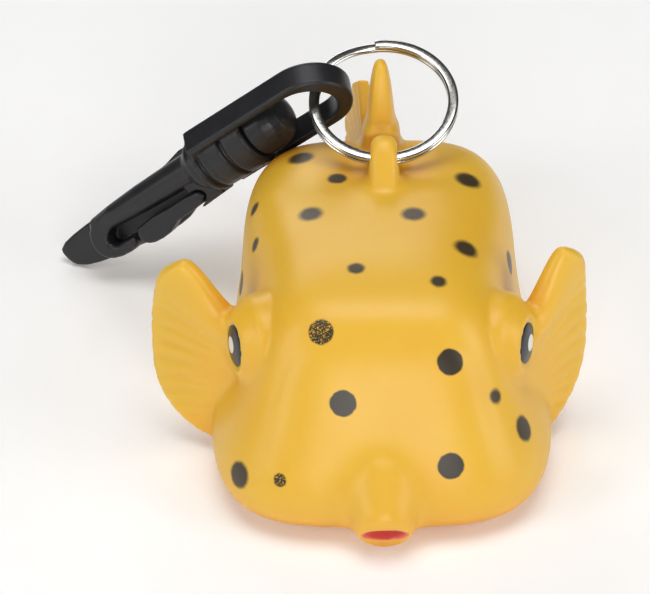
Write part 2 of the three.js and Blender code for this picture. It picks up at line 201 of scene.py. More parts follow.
SNOUT_ROOT, SNOUT_TIP = Vector((0, -30, 13.5)), Vector((0.6, -50.6, 5.8))
SNOUT_LOWEST = 0.2
MOUTH = (3.9, 3.0, 1.6)
MOUTH_SHIFT = Vector((0, -0.2, 0.1))
snout_axis = SNOUT_TIP - SNOUT_ROOT
reach = snout_axis.length
bell = [
    (0.01, 0), (9.4, 0), (9.8, 8), (9.4, 11.5), (8.6, 14), (7.6, 16.2), (6.6, 18.4), (5.8, 20.2),
    (5.2, 21.2), (4.7, reach - 0.2), (3.6, reach), (0.01, reach),
]
snout = turned("snout_form", bell, frame_along(snout_axis, SNOUT_ROOT))
for point in snout.data.vertices:
    point.co.z = max(point.co.z, SNOUT_LOWEST * MM)
mouth_frame = Matrix.Translation(SNOUT_TIP + MOUTH_SHIFT) @ Matrix.Diagonal((*MOUTH, 1))
half_circle = [(math.sin(a), -math.cos(a)) for a in np.linspace(0.01, math.pi - 0.01, 30)]
cut_away(snout, turned("mouth_cut", half_circle, mouth_frame, around=48, smooth=False))

# %% The eye turrets
EYE = {"x": 24.1, "y": -19.6, "z": 27.8, "axis": (0.93, -0.34, 0.10)}
TURRET = [
    (0.01, -5), (9.1, -5), (9.4, -0.8), (9.1, 0.5), (8.5, 1.5), (8.0, 1.75), (7.3, 2.6), (6.4, 3.6),
    (5.5, 4.3), (4.9, 4.4), (4.5, 3.9), (4.3, 3.5), (0.01, 3.4),
]


def eye_frame(side):
    """The eye's own frame, with z pointing out of the head."""
    axis = Vector((side * EYE["axis"][0], EYE["axis"][1], EYE["axis"][2])).normalized()
    return frame_along(axis, (side * EYE["x"], EYE["y"], EYE["z"]))


turrets = [turned(f"turret_form_{side}", TURRET, eye_frame(side)) for side in (-1, 1)]

# %% The lug and the back fin
HOLE = {"x": 0.8, "y": 18.0, "z": 44.8, "radius": 2.6}
BORE_LENGTH = 16
BACK_FIN_X = 0.2
PEBBLE = {"fullness": 2.6, "roundness": 0.4, "flatness": 0.75}
LUG = [
    (7.2, 39), (9.4, 42.0), (12.4, 45.0), (15.2, 48.4), (17.8, 49.9), (20.2, 49.0), (22.0, 46),
    (23.2, 42.6), (24.4, 39),
]
FOOT = [(24.2, 37), (25.4, 43.6), (26.6, 46.2), (34, 45.8), (36.8, 42), (37.6, 37)]
BLADE = [
    (25.8, 40), (27.0, 47), (28.4, 53), (30.4, 57.4), (33, 58.8), (35.2, 56.6), (36.4, 51), (36.6, 45),
    (36, 40),
]


def pebble(name, rim, middle, thickness, taper=0.0, around=120, across=48):
    """A flat pebble: rim is its outline in the Y-Z plane, and taper the thickness lost at its top."""
    centre = np.mean(rim, axis=0)
    edge = curve(list(rim) + [rim[0]], np.linspace(0, 1, around, endpoint=False))
    lowest, highest = min(p[1] for p in rim), max(p[1] for p in rim)
    rings = []
    for polar in np.cos(np.linspace(0.02, math.pi - 0.02, across)):
        spread = max(0.0, 1 - abs(polar) ** PEBBLE["fullness"]) ** PEBBLE["roundness"]
        lift = math.copysign(abs(polar) ** PEBBLE["flatness"], polar) * thickness / 2
        places = (edge - centre) * spread + centre
        share = np.clip((places[:, 1] - lowest) / (highest - lowest), 0, 1)
        rings.append(np.column_stack([middle + lift * (1 - taper * share), places]))
    return loft(name, rings)


lug = pebble("lug_form", LUG, HOLE["x"], 6.6, taper=0.1)
bore_start = (HOLE["x"] - BORE_LENGTH / 2, HOLE["y"], HOLE["z"])
bore_frame = Matrix.Translation(bore_start) @ Matrix.Rotation(math.pi / 2, 4, "Y")
bore = [(HOLE["radius"], 0), (HOLE["radius"], BORE_LENGTH)]
cut_away(lug, turned("bore_cut", bore, bore_frame, around=48, smooth=False))
foot = pebble("foot_form", FOOT, BACK_FIN_X, 7.8)
blade = pebble("blade_form", BLADE, BACK_FIN_X, 6.8, taper=0.5)

# %% [markdown]
# ## Ribbed fins
# The side fins and the tail are soft fans with rays pressed into both faces. They are made as bent
# plates: a grid runs from the root to the edge and along it, and each point is lifted by half the
# plate's thickness, less a narrow groove between one ray and the next. The grooves die out on the
# thick smooth upper lobe, whose top side follows the notch between the fin and the flank.

# %% Fins as bent plates
def plate(name, columns, rows, place):
    """A closed bent plate. place gives its points from a along the edge and b out from the root."""
    a, b = np.meshgrid(np.linspace(0, 1, columns), np.linspace(0, 1, rows), indexing="ij")
    front, back = place(a, b, 1.0), place(a, b, -1.0)
    points = np.concatenate([front.reshape(-1, 3), back.reshape(-1, 3)])
    far = columns * rows
    faces = []
    for i in range(columns - 1):
        for k in range(rows - 1):
            corner = (i * rows + k, i * rows + k + 1, (i + 1) * rows + k + 1, (i + 1) * rows + k)
            faces.append(corner)
            faces.append(tuple(far + c for c in reversed(corner)))
    rim = [i * rows for i in range(columns)] + [(columns - 1) * rows + k for k in range(1, rows)]
    rim += [i * rows + rows - 1 for i in range(columns - 2, -1, -1)] + list(range(rows - 2, 0, -1))
    for p, q in zip(rim, rim[1:] + rim[:1]):
        faces.append((p, q, far + q, far + p))
    return new_object(name, points, faces)


FIN_EDGE = [
    (2.0, 3.4), (8.6, 4.4), (14.0, 8.0), (17.0, 14), (17.4, 23), (16.6, 31.0), (14.6, 37.6),
    (9.8, 41.2),
]
FIN_ROOT = {"x": 29, "y": -15, "low": 4.5, "high": 30, "sunk": 8, "lean": 5}
FIN_NOTCH = 3.6
FIN_SWEEP = {-1: math.radians(25), 1: math.radians(50)}
FIN_RIBS, SCALLOP = 15, 0.10
GROOVE = {"depth": 0.62, "gain": 1.6, "start": 0.35, "loss": 0.85, "fade_from": 0.8, "fade_run": 0.2}
LOBE = {"notch_from": 0.6, "notch_run": 0.4, "thick_from": 0.66, "thick_run": 0.2}
RIM = {"outer": 0.10, "top": 0.12}
FIN_CUP = 1.6
SMOOTH_LOBE = 0.84
HALF_THICKNESS = {"root": 2.1, "thinning": 0.95, "lobe": 1.5, "lobe_thinning": 0.35}


def grooves(share, count):
    """Narrow dips, one for each ray, from 0 on the ray to 1 at the bottom of a groove."""
    return ((1 - np.cos(2 * np.pi * count * share)) / 2) ** 4


def round_rim(share, width):
    """The share of thickness left near a rim at share 1, which closes as a quarter circle."""
    inside = np.clip((1 - share) / width, 0, 1)
    return np.sqrt(np.clip(1 - (1 - inside) ** 2, 0.03, 1))


def side_fin(side):
    sweep = FIN_SWEEP[side]

    def place(a, b, face):
        edge = curve(FIN_EDGE, a)
        rayed = np.clip(6 * (SMOOTH_LOBE - a), 0, 1)
        root = FIN_ROOT["low"] + (FIN_ROOT["high"] - FIN_ROOT["low"]) * a
        scallop = SCALLOP * grooves(a, FIN_RIBS) * rayed
        out = -FIN_ROOT["sunk"] + (edge[..., 0] - scallop + FIN_ROOT["sunk"]) * b
        lobe = smooth_step((a - LOBE["notch_from"]) / LOBE["notch_run"])
        rise = b + (smooth_step(b) - b) * lobe
        notch = FIN_NOTCH * np.sin(np.pi * b) ** 2 * lobe
        height = root + (edge[..., 1] - root) * rise - notch
        half = HALF_THICKNESS["root"] - HALF_THICKNESS["thinning"] * b
        thicker = HALF_THICKNESS["lobe"] * smooth_step((a - LOBE["thick_from"]) / LOBE["thick_run"])
        half = half + thicker * (1 - HALF_THICKNESS["lobe_thinning"] * b)
        fade = 1 - GROOVE["loss"] * smooth_step((b - GROOVE["fade_from"]) / GROOVE["fade_run"])
        to_rim = np.clip(b * GROOVE["gain"] - GROOVE["start"], 0, 1) * fade
        half = half - GROOVE["depth"] * grooves(a, FIN_RIBS) * to_rim * rayed
        half = half * round_rim(b, RIM["outer"]) * round_rim(a, RIM["top"])
        cup = FIN_CUP * np.sin(np.pi * b)
        x = side * (FIN_ROOT["x"] + out * math.cos(sweep) + face * half * math.sin(sweep))
        y = FIN_ROOT["y"] - FIN_ROOT["lean"] * (1 - a) + out * math.sin(sweep) + cup
        return np.stack([x, y - face * half * math.cos(sweep), height], -1)

    return plate(f"side_fin_form_{side}", 360, 60, place)


side_fins = [side_fin(side) for side in (-1, 1)]

# %% The tail
TAIL_MIDDLE, TAIL_CURVE, TAIL_RIBS = 22.0, 6.5, 9
FAN = {"y": 45, "opening": 124, "inner": 2, "outer": 21, "scallop": 0.15, "length": 0.93, "height": 1.02}
FAN_HALF = {"root": 2.6, "thinning": 1.4, "groove": 0.4}
BEND = {"from": 44, "run": 19}
STALK = [(12.5, 11.5, 30), (9.5, 9.0, 38), (5.4, 7.2, 44), (3.2, 7.0, 50.5)]


def tail_fan(a, b, face):
    dips = grooves(a, TAIL_RIBS)
    angle = np.radians(-FAN["opening"] / 2 + FAN["opening"] * a)
    reach = FAN["inner"] + (FAN["outer"] - FAN["scallop"] * dips - FAN["inner"]) * b
    y = FAN["y"] + reach * np.cos(angle) * FAN["length"]
    z = TAIL_MIDDLE + reach * np.sin(angle) * FAN["height"]
    bend = -TAIL_CURVE * np.clip((y - BEND["from"]) / BEND["run"], 0, 1)
    half = FAN_HALF["root"] - FAN_HALF["thinning"] * b
    half = half - FAN_HALF["groove"] * dips * np.clip(1.5 * b - 0.2, 0, 1)
    return np.stack([bend + face * half, y, z], -1)


turns = np.linspace(0, 2 * np.pi, 72, endpoint=False)
stalk_rings = [
    [(w * math.cos(t), y, TAIL_MIDDLE + h * math.sin(t)) for t in turns]
    for w, h, y in curve(STALK, np.linspace(0, 1, 40))
]
tail = [loft("stalk_form", stalk_rings), plate("tail_fan_form", 200, 60, tail_fan)]

# %% [markdown]
# ## One skin of vinyl
# The real fish comes out of its mould in one piece, so nothing may show where a fin meets the body.
# Booleans would leave hard seams. A voxel remesh melts the overlapping forms into one closed surface
# instead, and a few rounds of smoothing give it the soft corners of poured vinyl.

# %% Melt the forms into one
VOXEL = 0.42 * MM
SKIN_SMOOTHING = 6


def remelt(piece, voxel, rounds):
    """Melts a piece into one closed surface and rounds it off."""
    melting = piece.modifiers.new("melt", "REMESH")
    melting.mode = "VOXEL"
    melting.voxel_size = voxel
    melting.use_smooth_shade = True
    soften = piece.modifiers.new("soften", "SMOOTH")
    soften.factor = 0.5
    soften.iterations = rounds
    apply_all(piece)


forms = [carapace, snout, lug, *turrets, foot, blade, *side_fins, *tail]
melt = bmesh.new()
for form in forms:
    melt.from_mesh(form.data)
skin_mesh = bpy.data.meshes.new("vinyl_fish")
melt.to_mesh(skin_mesh)
melt.free()
for form in forms:
    bpy.data.objects.remove(form)
skin = add_object("vinyl_fish", skin_mesh)
remelt(skin, VOXEL, SKIN_SMOOTHING)

# %% [markdown]
# ## Fillets where forms meet
# Where a fin or the snout leaves the body, the mould has a wide round fillet. Smoothing alone would
# round it only by wearing down the forms themselves. Instead a point moves towards its neighbours only
# where they lie further out than it does, which is true in a crease and nowhere else, so creases fill
# and crests stay. The opening of the mouth, the lug's bore and the grooves of the side fins are hollows
# too, and are kept out of it.

# %% Fill the creases
FILLETS = [  # where, how far it reaches and how strongly it fills
    ((0.0, -43.0, 13.0), 19.0, 1.0),
    ((HOLE["x"], 14.0, 42.0), 10.0, 0.35),
    ((BACK_FIN_X, 31.0, 42.0), 9.0, 0.25),
    ((-30.0, -14.0, 18.0), 19.0, 0.18),
    ((30.0, -14.0, 18.0), 19.0, 0.18),
    ((0.0, 42.0, TAIL_MIDDLE), 15.0, 0.6),
]
FILL_ROUNDS, NORMALS_EVERY = 340, 10
FILL_STEP, FILLET_FADE = 0.5, 0.4
BORE_MARGIN = 0.5
MOUTH_MARGIN, MOUTH_FADE = 2.6, 1.6
FINS_FROM, FINS_FADE = 33.0, 2.0


def fill_shares(points):
    """How strongly each point takes part, from 0 to 1."""
    shares = np.zeros(len(points))
    for centre, reach_of, strength in FILLETS:
        away = np.linalg.norm(points - np.array(centre), axis=1)
        share = smooth_step((reach_of - away) / (FILLET_FADE * reach_of))
        shares = np.maximum(shares, strength * share)
    from_bore = np.hypot(points[:, 1] - HOLE["y"], points[:, 2] - HOLE["z"])
    shares *= smooth_step(from_bore - HOLE["radius"] - BORE_MARGIN)
    shares *= smooth_step((points[:, 1] - SNOUT_TIP.y - MOUTH_MARGIN) / MOUTH_FADE)
    return shares * smooth_step((FINS_FROM - np.abs(points[:, 0])) / FINS_FADE)


def fill_creases(piece):
    mesh = piece.data
    count = len(mesh.vertices)
    places, normals = np.empty(count * 3), np.empty(count * 3)
    mesh.vertices.foreach_get("co", places)
    places = places.reshape(-1, 3)
    ends = np.empty(len(mesh.edges) * 2, dtype=np.int32)
    mesh.edges.foreach_get("vertices", ends)
    first, second = ends.reshape(-1, 2).T
    neighbours = np.bincount(first, minlength=count) + np.bincount(second, minlength=count)
    shares = FILL_STEP * fill_shares(places / MM)
    for turn in range(FILL_ROUNDS):
        if turn % NORMALS_EVERY == 0:
            mesh.vertices.foreach_set("co", places.ravel())
            mesh.update()
            mesh.vertices.foreach_get("normal", normals)
            outward = normals.reshape(-1, 3)
        total = np.stack([
            np.bincount(first, places[second, k], count) + np.bincount(second, places[first, k], count)
            for k in range(3)
        ], 1)
        step = total / neighbours[:, None] - places
        in_crease = (step * outward).sum(1) > 0
        places += step * (shares * in_crease)[:, None]
    places[:, 2] = np.maximum(places[:, 2], 0)
    mesh.vertices.foreach_set("co", places.ravel())
    mesh.update()


fill_creases(skin)
FLESH = [
    "carapace", "snout", "eye_right", "eye_left", "pectoral_fin_right", "pectoral_fin_left",
    "ring_lug", "dorsal_fin", "tail_stalk", "tail_fin",
]
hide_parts(*FLESH)
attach(skin, "fish")
print("skin faces:", len(skin.data.polygons))

# %% The eyeballs
BALL = [
    (0.01, -1.5), (4.25, -1.5), (4.28, 3.5), (4.1, 3.95), (3.4, 4.3), (2.2, 4.55), (1.0, 4.7),
    (0.01, 4.74),
]
eyeballs = []
for side, word in ((-1, "right"), (1, "left")):
    eyeball = turned(f"eyeball_{word}", BALL, Matrix.Identity(4), steps=120)
    # Each eyeball's own X points to the fish's tail, so that one recipe of paint and painted highlight suits
    # both.
    socket = eye_frame(side) @ Matrix.Rotation(math.pi if side < 0 else 0.0, 4, "Z")
    socket.translation = socket.translation * MM
    eyeball.matrix_world = socket
    for face in eyeball.data.polygons:
        face.use_smooth = True
    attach(eyeball, "fish")
    eyeballs.append(eyeball)

# %% [markdown]
# ## The split ring
# A split ring is flat spring wire wound almost twice round, pressed flat and cranked where one turn
# steps over the other. A curve with a bevel would do, but the crank and the wire's soft-edged section
# are easier to hold as a loft: the same section is carried round the path.

# %% Wind the ring
RING_RADIUS, RING_TILT, TURNS = 14.0, math.radians(22), 1.88
WIRE_WIDTH, WIRE_HEIGHT, TURN_GAP = 2.1, 1.0, 0.12
WIRE_ROUNDNESS = 0.7  # 1 is round, and less is more like a box
CRANK_TURN = 0.5  # how far the crank has turned round from the far side, in radians
CRANK_STEEPNESS = 16
WIRE_END = {"from": 0.494, "run": 0.006, "loss": 0.25}  # the shares where the cut ends are chamfered
ring_centre = Vector((
    HOLE["x"],
    HOLE["y"] + RING_RADIUS * math.cos(RING_TILT),
    HOLE["z"] + RING_RADIUS * math.sin(RING_TILT),
))
lay = Matrix.Translation(ring_centre) @ Matrix.Rotation(RING_TILT, 4, "X")
section = [
    (math.copysign(abs(math.cos(t)) ** WIRE_ROUNDNESS, math.cos(t)) * WIRE_WIDTH / 2,
     math.copysign(abs(math.sin(t)) ** WIRE_ROUNDNESS, math.sin(t)) * WIRE_HEIGHT / 2)
    for t in np.linspace(0, 2 * np.pi, 28, endpoint=False)
]
wire = []
for share in np.linspace(-0.5, 0.5, 720):
    angle = math.pi / 2 + CRANK_TURN + share * 2 * math.pi * TURNS
    rise = (WIRE_HEIGHT + TURN_GAP) * (float(smooth_step(share * CRANK_STEEPNESS + 0.5)) - 0.5)
    close = 1 - WIRE_END["loss"] * max(0.0, (abs(share) - WIRE_END["from"]) / WIRE_END["run"])
    ring = []
    for outward, up in section:
        radius = RING_RADIUS + outward * close
        point = Vector((radius * math.cos(angle), radius * math.sin(angle), rise + up * close))
        ring.append(lay @ point)
    wire.append(ring)
split_ring = loft("split_ring_wire", wire)
for face in split_ring.data.polygons:
    face.use_smooth = len(face.vertices) == 4
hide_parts("split_ring")
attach(split_ring, "ring")

# %% [markdown]
# ## The snap clip
# Its three pieces are moulded plastic whose solids already have the right shape, but with the sharp
# facets of a drawing. A mould has none: each piece is melted finely and smoothed like the fish, so that
# every edge takes the small radius that catches a highlight.

# %% Soften the clip's pieces
CLIP_VOXEL = 0.24 * MM
CLIP_SMOOTHING = 7
clip_parts = []
for node, body in (("clip_strap_eye", "strap_eye"), ("clip_hook", "hook"), ("clip_gate", "gate")):
    moulded = add_object(f"moulded_{node}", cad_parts[node].data.copy())
    moulded.data.materials.clear()
    weld = moulded.modifiers.new("weld", "WELD")
    weld.merge_threshold = SAME_PLACE
    remelt(moulded, CLIP_VOXEL, CLIP_SMOOTHING)
    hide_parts(node)
    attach(moulded, body)
    clip_parts.append(moulded)
    print(moulded.name, "faces:", len(moulded.data.polygons))

# %% [markdown]
# ## Colours and nodes
# Picked colours are sRGB, and the shader works in linear light, so one function turns hex values into
# linear ones. Another adds a node, its settings and its links in one call, which keeps each
# material as short as a recipe.

# %% Helpers for materials
def linear(code):
    """The linear colour, with full alpha, of an sRGB hex value."""
    parts = [int(code[i : i + 2], 16) / 255 for i in (1, 3, 5)]
    return (*[p / 12.92 if p <= 0.04045 else ((p + 0.055) / 1.055) ** 2.4 for p in parts], 1.0)


def material(name):
    """A new material with its node tree and its shader."""
    made = bpy.data.materials.new(name)
    made.use_nodes = True
    tree = made.node_tree
    return made, tree, tree.nodes["Principled BSDF"]


def node(tree, kind, inputs=None, **settings):
    """Adds a node. inputs maps a socket to a value or to another node's output."""
    made = tree.nodes.new(kind)
    for key, value in settings.items():
        setattr(made, key, value)
    for socket, value in (inputs or {}).items():
        if isinstance(value, bpy.types.NodeSocket):
            tree.links.new(value, made.inputs[socket])
        else:
            made.inputs[socket].default_value = value
    return made


def out(made, name=0):
    """A node's output by name or number. The mixed colour of a Mix node is its output 2."""
    return made.outputs[name]


def in_millimetres(tree):
    """The place on the object in its own coordinates, in millimetres."""
    where = out(node(tree, "ShaderNodeTexCoord"), "Object")
    return out(node(tree, "ShaderNodeVectorMath", {0: where, "Scale": 1 / MM}, operation="SCALE"))


# %% [markdown]
# ## Vinyl with painted shade and spots
# The fish is plasticised PVC, cast in a mould and cured: a satin skin that lets a little light in, so
# its edges glow. Orange is painted shade in the hollows, and the body turns more orange towards the
# bottom. Spots are dabbed on, some crisp and some with a blurred halo. Each spot is a ball of paint
# placed on the skin: where the skin passes through the ball, it is dark.

# %% Where the spots sit
# A spot is named by the side it is looked at from and two distances on that side. A ray sent in from
# there finds the skin, so a spot stays on the surface whatever the body's shape. Its radius comes next,
# and then how sharp it is. A speckled spot lets grains of the body's colour show through.
FAR = 90
LOOKING_IN = {
    "back": lambda x, y: ((x, y, FAR), (0, 0, -1)),
    "face": lambda x, z: ((x, -FAR, z), (0, 1, 0)),
    "rear": lambda x, z: ((x, FAR, z), (0, -1, 0)),
    "right": lambda y, z: ((-FAR, y, z), (1, 0, 0)),
    "left": lambda y, z: ((FAR, y, z), (-1, 0, 0)),
}
# Each kind of spot has the blur at its edge in millimetres and the strength of its paint.
CRISP, SOFT, HAZY = (0.2, 0.97), (0.5, 0.95), (0.8, 0.95)
SPOTS = [
    ("back", -13.5, 3.5, 2.3, HAZY), ("back", 6.5, 2.5, 2.3, HAZY), ("back", 16.5, -7.5, 2.4, HAZY),
    ("back", 17.5, 17.0, 2.6, HAZY), ("back", -4.5, -16.0, 1.6, SOFT), ("back", 11.0, -19.5, 1.5, SOFT),
    ("back", -8.5, 16.0, 1.9, SOFT), ("back", -16.0, 26.0, 2.6, HAZY), ("face", 13.0, 33.0, 2.5, CRISP),
    ("face", -7.0, 27.0, 2.5, CRISP), ("face", 13.0, 16.5, 2.5, CRISP), ("face", 21.5, 25.0, 1.4, SOFT),
    ("face", -27.0, 11.0, 2.6, SOFT), ("face", 27.0, 17.0, 2.5, SOFT), ("right", 14.5, 35.5, 1.5, SOFT),
    ("right", 3.5, 34.5, 1.5, SOFT), ("right", 8.0, 22.0, 2.5, SOFT), ("right", 22.0, 12.0, 2.3, SOFT),
    ("right", 3.0, 10.0, 2.0, SOFT), ("right", 28.0, 27.0, 2.2, SOFT), ("left", 3.0, 30.0, 2.4, SOFT),
    ("left", 16.0, 20.0, 2.4, SOFT), ("left", 4.0, 12.0, 2.0, SOFT), ("left", 27.0, 32.0, 2.2, SOFT),
    ("rear", 15.0, 30.0, 2.4, SOFT), ("rear", -16.0, 27.0, 2.4, SOFT), ("rear", 19.0, 12.0, 2.2, SOFT),
    ("rear", -18.0, 10.0, 2.0, SOFT),
]
SPECKLED = [("face", -11.0, 37.5, 2.4, CRISP), ("face", -19.0, 13.5, 1.3, CRISP)]


def on_skin(spot):
    """Where a spot sits in millimetres, with its radius, blur and strength."""
    side, first, second, radius, (blur, strength) = spot
    start, inward = LOOKING_IN[side](first, second)
    hit, point, *_ = skin.ray_cast(Vector(start) * MM, Vector(inward))
    if not hit:
        raise RuntimeError(f"no skin under the spot {spot}")
    return (*(c / MM for c in point), radius, blur, strength)


def painted(tree, place, spots, wobble):
    """The share of spot paint at each place: the strongest of all the spots."""
    total = None
    for x, y, z, radius, blur, strength in map(on_skin, spots):
        away = node(tree, "ShaderNodeVectorMath", {0: place, 1: (x, y, z)}, operation="DISTANCE")
        edge = node(tree, "ShaderNodeMath", {0: out(away, "Value"), 1: wobble}, operation="ADD")
        dab = node(
            tree, "ShaderNodeMapRange",
            {"Value": out(edge), "From Min": radius + blur, "From Max": radius - blur, "To Max": strength},
            interpolation_type="SMOOTHSTEP",
        )
        if total is None:
            total = out(dab)
        else:
            total = out(node(tree, "ShaderNodeMath", {0: total, 1: out(dab)}, operation="MAXIMUM"))
    return total


# %% Satin vinyl, with painted shade and dabbed spots
YELLOW, ORANGE, LEMON = linear("#EBBA38"), linear("#E29316"), linear("#E0BA40")
SPOT_BLACK, LIP_RED = linear("#1F1C1C"), linear("#DE625A")
vinyl, tree, skin_shader = material("cast_vinyl_satin")
place = in_millimetres(tree)
apart = node(tree, "ShaderNodeSeparateXYZ", {0: place})

cloud = node(tree, "ShaderNodeTexNoise", {"Vector": place, "Scale": 1 / 16.0, "Detail": 2.0})
# Orange is painted shade where the occlusion finds a hollow. It also grows towards the bottom and drifts a
# little from patch to patch.
hollow = node(tree, "ShaderNodeAmbientOcclusion", {"Distance": 7 * MM}, samples=8)
painted_hollow_shade = node(tree, "ShaderNodeMapRange", {
    "Value": out(hollow, "AO"), "From Min": 0.93, "From Max": 0.45, "To Max": 0.75,
})
low = node(tree, "ShaderNodeMapRange", {
    "Value": out(apart, "Z"), "From Min": 9.0, "From Max": 0.0, "To Max": 0.45,
})
drift = node(tree, "ShaderNodeMapRange", {
    "Value": out(cloud), "From Min": 0.42, "From Max": 0.75, "To Max": 0.16,
})
hollow_shade_and_low_orange = node(tree, "ShaderNodeMath", {0: out(painted_hollow_shade), 1: out(low)}, operation="MAXIMUM")
orange_share = node(
    tree, "ShaderNodeMath", {0: out(hollow_shade_and_low_orange), 1: out(drift)}, operation="ADD", use_clamp=True,
)
body_colour = node(
    tree, "ShaderNodeMix", {"Factor": out(orange_share), 6: YELLOW, 7: ORANGE}, data_type="RGBA",
)
sideways = node(tree, "ShaderNodeMath", {0: out(apart, "X")}, operation="ABSOLUTE")
on_fin = node(tree, "ShaderNodeMapRange", {
    "Value": out(sideways), "From Min": 33.0, "From Max": 42.0, "To Max": 0.6,
})
fin_colour = node(
    tree, "ShaderNodeMix", {"Factor": out(on_fin), 6: out(body_colour, 2), 7: LEMON}, data_type="RGBA",
)

ragged = node(tree, "ShaderNodeTexNoise", {"Vector": place, "Scale": 1 / 0.9, "Detail": 3.0})
wobble = node(tree, "ShaderNodeMapRange", {
    "Value": out(ragged), "From Min": 0.3, "From Max": 0.7, "To Min": -0.08, "To Max": 0.08,
})
spots = painted(tree, place, SPOTS, out(wobble))
grains = node(tree, "ShaderNodeTexNoise", {"Vector": place, "Scale": 1 / 0.28, "Detail": 1.0})
flecks = node(tree, "ShaderNodeMapRange", {"Value": out(grains), "From Min": 0.30, "From Max": 0.48})
speckled = painted(tree, place, SPECKLED, out(wobble))
flecked = node(tree, "ShaderNodeMath", {0: speckled, 1: out(flecks)}, operation="MULTIPLY")
all_spots = node(tree, "ShaderNodeMath", {0: spots, 1: out(flecked)}, operation="MAXIMUM")
spotted = node(
    tree, "ShaderNodeMix", {"Factor": out(all_spots), 6: out(fin_colour, 2), 7: SPOT_BLACK},
    data_type="RGBA",
)

from_mouth = node(
    tree, "ShaderNodeVectorMath", {0: place, 1: SNOUT_TIP + MOUTH_SHIFT}, operation="SUBTRACT",
)
squeezed = node(
    tree, "ShaderNodeVectorMath", {0: out(from_mouth), 1: [1 / m for m in MOUTH]}, operation="MULTIPLY",
)
mouth_reach = node(tree, "ShaderNodeVectorMath", {0: out(squeezed)}, operation="LENGTH")
in_mouth = node(
    tree, "ShaderNodeMapRange",
    {"Value": out(mouth_reach, "Value"), "From Min": 1.25, "From Max": 1.02},
    interpolation_type="SMOOTHSTEP",
)
finished = node(
    tree, "ShaderNodeMix", {"Factor": out(in_mouth), 6: out(spotted, 2), 7: LIP_RED}, data_type="RGBA",
)
tree.links.new(out(finished, 2), skin_shader.inputs["Base Color"])

# Cast vinyl keeps a faint orange peel from the mould, about a millimetre from crest to crest.
peel = node(tree, "ShaderNodeTexNoise", {"Vector": place, "Scale": 1 / 1.1, "Detail": 2.0})
relief = node(tree, "ShaderNodeBump", {"Strength": 0.06, "Distance": 0.3 * MM, "Height": out(peel)})
sheen = node(tree, "ShaderNodeMapRange", {"Value": out(cloud), "To Min": 0.34, "To Max": 0.46})
tree.links.new(out(relief), skin_shader.inputs["Normal"])
tree.links.new(out(sheen), skin_shader.inputs["Roughness"])
skin_shader.inputs["IOR"].default_value = 1.53
skin_shader.inputs["Subsurface Weight"].default_value = 0.3
skin_shader.inputs["Subsurface Radius"].default_value = (1.0, 0.5, 0.12)
skin_shader.inputs["Subsurface Scale"].default_value = 3 * MM
skin.data.materials.append(vinyl)

# %% [markdown]
# ## Painted eyes
# Each eye is a low dome sprayed with gloss black enamel. A white glint near its middle is a painted
# highlight, and a thin pale crescent along its rear rim is a painted reflection. The dome has its own
# frame with Z pointing out of the head, so both are measured from its centre.

# %% Gloss enamel
enamel, tree, eye_shader = material("gloss_enamel_painted_highlights")
place = in_millimetres(tree)
apart = node(tree, "ShaderNodeSeparateXYZ", {0: place})
# A painted highlight: a white dot near the middle of the eye.
from_glint = node(tree, "ShaderNodeVectorMath", {0: place, 1: (0.35, 0.0, 4.65)}, operation="DISTANCE")
glint = node(tree, "ShaderNodeMapRange", {
    "Value": out(from_glint, "Value"), "From Min": 1.75, "From Max": 1.55,
})
# A painted reflection: a thin pale crescent along the rear rim.
flat = node(tree, "ShaderNodeCombineXYZ", {"X": out(apart, "X"), "Y": out(apart, "Y")})
off_middle = node(tree, "ShaderNodeVectorMath", {0: out(flat), 1: (-0.45, 0.0, 0.0)}, operation="DISTANCE")
rim = node(tree, "ShaderNodeMapRange", {"Value": out(off_middle, "Value"), "From Min": 4.2, "From Max": 4.4})
painted_highlights = node(tree, "ShaderNodeMath", {0: out(glint), 1: out(rim)}, operation="MAXIMUM")
black_to_white = node(
    tree, "ShaderNodeMix", {"Factor": out(painted_highlights), 6: linear("#232326"), 7: linear("#E9E6E0")},
    data_type="RGBA",
)
tree.links.new(out(black_to_white, 2), eye_shader.inputs["Base Color"])
eye_shader.inputs["Roughness"].default_value = 0.28
for eyeball in eyeballs:
    eyeball.data.materials.append(enamel)

# %% [markdown]
# ## Plated spring steel
# The ring is hardened steel wire, tumbled and nickel plated. Plating copies the drawn wire below it,
# so its shine is sharp but a little streaky. Metal keeps the default IOR: its colour does the work.

# %% Nickel plate
plating, tree, ring_shader = material("nickel_plated_spring_steel")
place = in_millimetres(tree)
streaks = node(tree, "ShaderNodeTexNoise", {"Vector": place, "Scale": 1 / 0.8, "Detail": 4.0})
dulled = node(tree, "ShaderNodeMapRange", {"Value": out(streaks), "To Min": 0.10, "To Max": 0.26})
drawn = node(tree, "ShaderNodeBump", {"Strength": 0.08, "Distance": 0.1 * MM, "Height": out(streaks)})
tree.links.new(out(dulled), ring_shader.inputs["Roughness"])
tree.links.new(out(drawn), ring_shader.inputs["Normal"])
ring_shader.inputs["Base Color"].default_value = linear("#CFCDC8")
ring_shader.inputs["Metallic"].default_value = 1.0
split_ring.data.materials.append(plating)

# %% [markdown]
# ## Moulded acetal
# Snap clips are injection moulded in black acetal, a slippery plastic with a soft shine. The mould's
# spark-eroded grain breaks the highlight up, and handling polishes it in patches.

# %% Black acetal
acetal, tree, clip_shader = material("moulded_black_acetal")
place = in_millimetres(tree)
